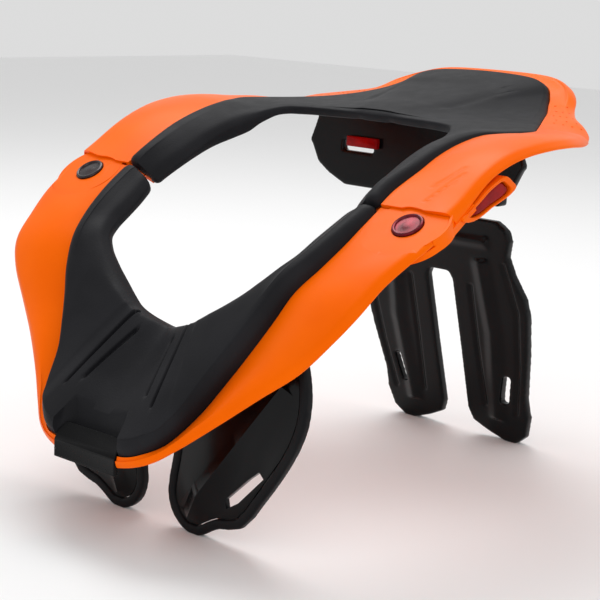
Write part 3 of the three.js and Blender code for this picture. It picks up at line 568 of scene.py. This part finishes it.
darkMetal = finish("dark anodised metal", (0.02, 0.006, 0.009), (0.008, 0.004, 0.006), (0.2, 0.32),
                   blotch=160, grain=1500, grainDepth=0.08, grainHeight=0.04, metallic=0.6, coat=0.3,
                   coatRoughness=0.08)
# Red gloss plastic: the sliders' own red, and on the lever's catch a deep red that is painted shade for the
# dark inside of the orange scoop
redPlasticAndPocketShade = finish("red gloss plastic and painted pocket shade", (0.32, 0.002, 0.003), (0.2, 0.001, 0.002), (0.12, 0.2),
                    blotch=120, grain=1400, grainDepth=0.08, grainHeight=0.04, specular=0.22,
                    glint=(1, 0.3, 0.3))
print("finishes ready")


def addPiece(obj, body, slot, material, *nodes):
    obj.data.materials.clear()
    obj.data.materials.append(material)
    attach(obj, body)
    if nodes:
        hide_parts(*nodes)


# Nose clip, and the recess in the pad that its flap lies in. The cutters reach ahead of the nose.
nose = {"half": 21.5, "taper": 0.74, "plate": 2.4, "flap": 10, "lip": 8.4, "slope": 60, "top": 46,
        "ahead": 6, "above": 4, "recessGap": 1.2, "recessBack": 3, "sill": 1, "backRise": 1.5,
        "sideFlare": 2.2, "backFlare": 0.8, "frontHeight": 30, "backHeight": 18,
        "flapBorder": 1.5, "flapSink": 0.45, "lipBorder": 1.2, "lipSink": 0.3, "bevel": 0.28, "sharp": 25}
noseY = collar["hingeY"] - collar["frontReach"]
flapTurn = math.radians(nose["slope"])
flapEnd = (noseY + math.cos(flapTurn) * nose["flap"], nose["top"] + math.sin(flapTurn) * nose["flap"])
flapReach = flapEnd[0] + nose["plate"] * math.sin(flapTurn)


def clipTool():
    # the clip's own box at the front band, with the gap all round
    wide = nose["half"] + collar["gap"]
    back = noseY + nose["plate"] + collar["gap"]
    low = nose["top"] - nose["lip"] - collar["gap"]
    box = slab(rectangle(-wide, wide, noseY - nose["ahead"], back), low, nose["top"] + nose["above"])
    return newObject("tool", box)


def recessTool():
    # a scoop with flaring walls, open to the front and upwards
    lowWide = nose["half"] + nose["recessGap"]
    backWide = lowWide * nose["taper"]
    frontY = noseY - nose["ahead"]
    backY = flapReach + nose["recessBack"]
    floorFront = nose["top"] - nose["plate"]
    floorBack = flapEnd[1] - math.cos(flapTurn) * nose["plate"]
    flare = nose["sideFlare"]
    corners = []
    for side in (-1, 1):
        corners += [(side * lowWide, frontY, floorFront),
                    (side * lowWide, noseY + nose["sill"], floorFront),
                    (side * backWide, backY, floorBack + nose["backRise"]),
                    (side * (lowWide + flare), frontY, floorFront + nose["frontHeight"]),
                    (side * (backWide + flare), backY + nose["backFlare"], floorBack + nose["backHeight"])]
    bm = bmesh.new()
    for corner in corners:
        bm.verts.new(Vector(corner) * mm)
    bmesh.ops.convex_hull(bm, input=bm.verts)
    bmesh.ops.recalc_face_normals(bm, faces=bm.faces)
    return newObject("tool", bm)


def sinkClipFaces(bm):
    # the flap and the lip each have a slightly sunk face with a narrow border
    flap = max((f for f in bm.faces if f.normal.z > 0.3), key=lambda f: f.calc_area())
    lip = max((f for f in bm.faces if f.normal.y < -0.8), key=lambda f: f.calc_area())
    for face, border, depth in ((flap, nose["flapBorder"], nose["flapSink"]),
                                (lip, nose["lipBorder"], nose["lipSink"])):
        bmesh.ops.inset_individual(bm, faces=[face], thickness=border * mm, depth=-depth * mm,
                                   use_even_offset=True)


def makeFrontShell():
    obj = loft("frontShell", [shellSection(s) for s in stations(frontRows, True, shell["stationsPerRow"])])
    cut = joint["cutRadius"]
    steps = []
    for side in (1, -1):
        steps += [("DIFFERENCE", disc(cut, lugTop, far, side)),
                  ("DIFFERENCE", disc(cut, -far, lugLow, side)),
                  ("DIFFERENCE", jointSlab(rectangle(-cut, cut, 0, far), -far, lugLow, side)),
                  ("UNION", disc(joint["lugRadius"], lugLow, lugTop, side)),
                  ("DIFFERENCE", disc(joint["pin"] + collar["gap"], -far, far, side)),
                  ("DIFFERENCE", disc(joint["button"] + collar["gap"], lugTop - joint["sink"], far, side))]
    # room for the hinge's swing
    corner = jointSlab(rectangle(0, far, 0, far), -far, far, -1)
    carve(corner, ("DIFFERENCE", disc(joint["swingRadius"], -far - 1, far + 1, -1)))
    steps += [("DIFFERENCE", corner), ("DIFFERENCE", clipTool())]
    carve(obj, *steps)
    return obj


# Small blind holes in the band beside the tail's ears, on both sides. A line of them lies at a row number
# of rearRows and has its first share of the band's width, its last share and its count.
vents = {"radius": 0.75, "taper": 0.8, "depth": 1.6, "sides": 14, "perRow": 20,
         "lines": [(10.3, 0.25, 0.85, 4), (10.9, 0.3, 0.8, 3), (11.6, 0.22, 0.82, 4),
                   (12.3, 0.3, 0.78, 3), (13.0, 0.25, 0.7, 2)]}


def ventHoles():
    spots = stations(rearRows, False, vents["perRow"])
    middle = len(spots) // 2
    bm = bmesh.new()
    for row, start, end, count in vents["lines"]:
        aside = round((len(rearRows) - 1 - row) * vents["perRow"])
        for k in range(count):
            share = start + (end - start) * k / (count - 1)
            for spot in (spots[middle + aside], spots[middle - aside]):
                lift = spot["up"] * shell["rimHeight"] * spot["edge"] * share
                top = spot["seam"] + spot["out"] * share + lift
                turn = spot["up"].to_track_quat("Z", "Y").to_matrix().to_4x4()
                bmesh.ops.create_cone(bm, cap_ends=True, segments=vents["sides"],
                                      radius1=vents["radius"] * mm * vents["taper"],
                                      radius2=vents["radius"] * mm, depth=2 * vents["depth"] * mm,
                                      matrix=Matrix.Translation(top * mm) @ turn)
    return newObject("tool", bm)


def makeRearShell():
    obj = loft("rearShell", [shellSection(s) for s in stations(rearRows, False, shell["stationsPerRow"])])
    gap = collar["gap"]
    tongue = joint["tongueRadius"]
    steps = []
    for side in (1, -1):
        seam = smoothSeam(latchSeam if side > 0 else hingeSeam, joint["lugRadius"])
        slotRadius = (joint["lugRadius"] if side > 0 else joint["swingRadius"]) + gap * 2
        neck = rectangle(-tongue, tongue, 0, tongue * joint["tongueShare"])
        steps += [("DIFFERENCE", jointSlab(seam, tongueTop + gap, far, side)),
                  ("UNION", disc(tongue, tongueLow, tongueTop, side)),
                  ("UNION", jointSlab(neck, tongueLow, tongueTop, side)),
                  ("DIFFERENCE", disc(slotRadius, tongueTop, slotTop, side))]
    # the hinge's bore, the latch's open slot and the crescent round its lug
    mouth = joint["pin"] + joint["slack"]
    slot = rectangle(-mouth, mouth, -far, joint["pin"] + gap)
    steps += [("DIFFERENCE", disc(joint["pin"] + gap, -far, far, -1)),
              ("DIFFERENCE", jointSlab(slot, tongueLow - gap, tongueTop + gap, 1)),
              ("UNION", jointSlab(crescent(joint["lugRadius"] + gap), tongueLow, slotTop, 1)),
              ("DIFFERENCE", ventHoles())]
    carve(obj, *steps)
    return obj


# Two shallow creases behind the latch
crease = {"grooves": [[(109, -53), (110.7, -48.6), (112.7, -43.9), (114.1, -39.9), (117, -34)],
                      [(106, -44), (110, -38), (114, -30)]],
          "facing": (0, 0, 1), "width": 2.4, "depth": 0.5, "reach": 4, "cuts": 3}

frontShell = makeFrontShell()
smoothShade(frontShell)
addPiece(frontShell, "front", "orange_shell", orangePlastic, "front_shell")
rearShell = makeRearShell()
refine(rearShell, crease)
pressGrooves(rearShell, crease)
smoothShade(rearShell)
addPiece(rearShell, "rear", "orange_shell", orangePlastic, "rear_shell")
print("shells made", len(frontShell.data.polygons), len(rearShell.data.polygons))

# Plain relief in the pads: a sunk panel and grooves, seen from above
chestRelief = {"panel": [(-21, -143), (21, -143), (12, -119), (-12, -119)],
               "grooves": mirrored([[(22, -143), (12.5, -118)], [(30, -147), (18, -112)]]),
               "facing": (0, -0.7, 0.72), "width": 2.4, "depth": 2.2, "sink": 0.7, "soft": 5,
               "reach": 3, "cuts": 3, "passes": 2}
tableRelief = {"panel": [(-37, 113), (37, 113), (29, 66), (-29, 66)],
               "grooves": [[(-37, 113), (37, 113)]],
               "facing": (0, 0, 1), "width": 2.2, "depth": 0.4, "sink": 1.1, "soft": 3.4,
               "reach": 3, "cuts": 2, "passes": 2}


def pressRelief(obj, form):
    refine(obj, form)
    sinkPanel(obj, form)
    pressGrooves(obj, form)
    relax(obj, form)


frontPad = loft("frontPad", padRings(frontRows, True))
carve(frontPad, ("DIFFERENCE", recessTool()), ("DIFFERENCE", clipTool()))
pressRelief(frontPad, chestRelief)
smoothShade(frontPad, shade["pad"])
addPiece(frontPad, "front", "charcoal_foam", padFoam, "front_pad")

rearPad = loft("rearPad", padRings(rearRows, False))
pressRelief(rearPad, tableRelief)
smoothShade(rearPad, shade["pad"])
addPiece(rearPad, "rear", "charcoal_foam", padFoam, "rear_pad")
print("pads made", len(frontPad.data.polygons), len(rearPad.data.polygons))

noseClip = bevelledCopy("nose_clip", "noseClip", nose["bevel"], nose["sharp"], sinkClipFaces)
smoothShade(noseClip)
addPiece(noseClip, "front", "black_plastic", clipBlack, "nose_clip")

# Buttons: a dished face with a raised rim, spun about the joint's axis with the pin under it. The profile
# has shares of the button's radius and heights over the lug.
button = {"profile": [(0, 0.95), (0.3, 0.8), (0.62, 0.45), (0.74, 0.5), (0.8, 1.1), (0.88, 1.25),
                      (0.96, 1.05), (1, 0.6)],
          "flange": 1.4, "steps": 64}


def makeButton(name, side, low, flanged):
    radius = joint["button"]
    base = lugTop - joint["sink"] + collar["gap"]
    profile = [(radius * share, lugTop + height) for share, height in button["profile"]]
    profile += [(radius, base), (joint["pin"], base), (joint["pin"], low)]
    if flanged:
        profile += [(radius, low), (radius, low - button["flange"])]
        low -= button["flange"]
    profile.append((0, low))
    bm = bmesh.new()
    verts = [bm.verts.new((x * mm, 0, z * mm)) for x, z in profile]
    edges = [bm.edges.new(pair) for pair in zip(verts[:-1], verts[1:])]
    bmesh.ops.spin(bm, geom=verts + edges, cent=(0, 0, 0), axis=(0, 0, 1), angle=math.tau,
                   steps=button["steps"], use_merge=True, use_duplicate=False)
    bmesh.ops.remove_doubles(bm, verts=bm.verts, dist=mergeDistance)
    return onJoint(bm, side, name)


latchButton = makeButton("latchButton", 1, tongueLow, False)
smoothShade(latchButton, shade["button"])
addPiece(latchButton, "front", "red_button", redMetal, "latch_button_left")
hingeButton = makeButton("hingeButton", -1, tongueLow - collar["gap"], True)
smoothShade(hingeButton, shade["button"])
addPiece(hingeButton, "rear", "black_button", darkMetal, "hinge_pin_right")
print("buttons made")

# Chest paddles and their soft rims
paddle = {"bevel": 0.5, "rimVoxel": 0.65, "rimPasses": 14}
for word in ("left", "right"):
    plate = bevelledCopy("chest_paddle_" + word, "chestPaddle_" + word, paddle["bevel"])
    smoothShade(plate, shade["paddle"])
    addPiece(plate, "front", "black_plastic", glossBlack, "chest_paddle_" + word)
    rim = roundedCopy("paddle_rim_" + word, "paddleRim_" + word, paddle["rimVoxel"], paddle["rimPasses"])
    smoothShade(rim, shade["worn"])
    addPiece(rim, "front", "soft_edge", softBlack, "paddle_rim_" + word)
print("paddles made")

# Back strut with its moulded channels, seen from behind
strut = {"voxel": 0.85, "passes": 14}
channel = {"grooves": mirrored([[(47, 112), (53, 84), (50, 50), (45, 20)], [(22, 96), (22, 60), (23, 22)]]),
           "facing": (0, -1, 0), "width": 5, "depth": 1.1}
backStrut = roundedCopy("back_strut", "backStrut", strut["voxel"], strut["passes"])
pressGrooves(backStrut, channel, backView)
smoothShade(backStrut, shade["worn"])
addPiece(backStrut, "rear", "black_plastic", glossBlack, "back_strut")

# Wing plate and its two sliders
wing = {"voxel": 0.8, "passes": 12, "sliderBevel": 0.7}
wingPlate = roundedCopy("wing_plate", "wingPlate", wing["voxel"], wing["passes"])
smoothShade(wingPlate, shade["worn"])
addPiece(wingPlate, "rear", "black_plastic", glossBlack, "wing_plate")
for word in ("left", "right"):
    slider = bevelledCopy("adjuster_" + word, "adjuster_" + word, wing["sliderBevel"])
    smoothShade(slider)
    addPiece(slider, "rear", "red_plastic", redPlasticAndPocketShade, "adjuster_" + word)
print("strut and wing plate made")

# Release lever: the scoop, the catch in its pocket and the black tip beside it. The catch's deep red is
# painted shade that stands for the dark inside of the orange scoop.
lever = {"voxel": 0.5, "catchVoxel": 0.45, "passes": 5, "tipLow": (120.5, -20, 166),
         "tipHigh": (127, -12, 173.5), "tipBevel": 1.6, "tipSteps": 4}
releaseLever = roundedCopy("release_lever", "releaseLever", lever["voxel"], lever["passes"])
smoothShade(releaseLever, shade["worn"])
addPiece(releaseLever, "lever", "orange_shell", orangePlastic, "release_lever")
# the catch is painted deep red as painted shade inside the scoop
leverCatch = roundedCopy("lever_catch", "leverCatch", lever["catchVoxel"], lever["passes"])
smoothShade(leverCatch, shade["worn"])
addPiece(leverCatch, "lever", "red_plastic", redPlasticAndPocketShade, "lever_catch")


def makeLeverFoot():
    low, high = Vector(lever["tipLow"]), Vector(lever["tipHigh"])
    bm = bmesh.new()
    place = Matrix.Translation((high + low) / 2 * mm) @ Matrix.Diagonal((*(high - low), 1))
    bmesh.ops.create_cube(bm, size=mm, matrix=place)
    bmesh.ops.bevel(bm, geom=list(bm.edges), offset=lever["tipBevel"] * mm, affect="EDGES",
                    segments=lever["tipSteps"], profile=0.5, material=-1)
    bmesh.ops.recalc_face_normals(bm, faces=bm.faces)
    return newObject("leverFoot", bm)


leverFoot = makeLeverFoot()
smoothShade(leverFoot)
addPiece(leverFoot, "lever", "black_plastic", glossBlack)
print("lever made")

# Studio, in metres: a pale floor and soft lights with their place, aim, size and power
studio = {"floorSize": 6, "floorColour": (0.9, 0.9, 0.9), "floorRoughness": 0.8, "world": 0.72,
          "lights": [("key", (-0.5, 0.3, 1.3), (0, 0, 0.12), 0.8, 9),
                     ("front", (0.9, -1.2, 0.9), (0, 0, 0.1), 1, 3),
                     ("side", (1.4, 0.5, 0.7), (0, 0, 0.12), 0.8, 2)]}


def makeFloor():
    bm = bmesh.new()
    bmesh.ops.create_grid(bm, x_segments=1, y_segments=1, size=studio["floorSize"] / 2)
    floor = newObject("floor", bm)
    paint = bpy.data.materials.new("pale floor")
    paint.use_nodes = True
    shader = paint.node_tree.nodes["Principled BSDF"]
    shader.inputs["Base Color"].default_value = (*studio["floorColour"], 1)
    shader.inputs["Roughness"].default_value = studio["floorRoughness"]
    floor.data.materials.append(paint)


def makeLights():
    world = bpy.data.worlds.new("studio")
    world.use_nodes = True
    background = world.node_tree.nodes["Background"]
    background.inputs["Color"].default_value = (1, 1, 1, 1)
    background.inputs["Strength"].default_value = studio["world"]
    bpy.context.scene.world = world
    for name, place, aim, size, power in studio["lights"]:
        data = bpy.data.lights.new(name, "AREA")
        data.size = size
        data.energy = power
        lamp = bpy.data.objects.new(name, data)
        lamp.location = place
        lamp.rotation_euler = (Vector(aim) - Vector(place)).to_track_quat("-Z", "Y").to_euler()
        bpy.context.scene.collection.objects.link(lamp)


# The camera that was fitted to the photo: its place in millimetres and its three axes
view = {"place": (551.4, -635.8, 270.5), "right": (0.74179, 0.66914, 0.04467),
        "up": (-0.1678, 0.1207, 0.9784), "back": (0.6493, -0.73326, 0.20182),
        "lens": 96, "sensor": 36, "clipStart": 0.01}


def makeCamera():
    data = bpy.data.cameras.new("camera")
    data.lens = view["lens"]
    data.sensor_width = view["sensor"]
    data.clip_start = view["clipStart"]
    camera = bpy.data.objects.new("camera", data)
    turn = Matrix((view["right"], view["up"], view["back"])).transposed().to_4x4()
    camera.matrix_world = Matrix.Translation(Vector(view["place"]) * mm) @ turn
    bpy.context.scene.collection.objects.link(camera)
    bpy.context.scene.camera = camera


makeFloor()
makeLights()
makeCamera()
bpy.context.scene.view_settings.view_transform = "Standard"

bpy.context.view_layer.update()
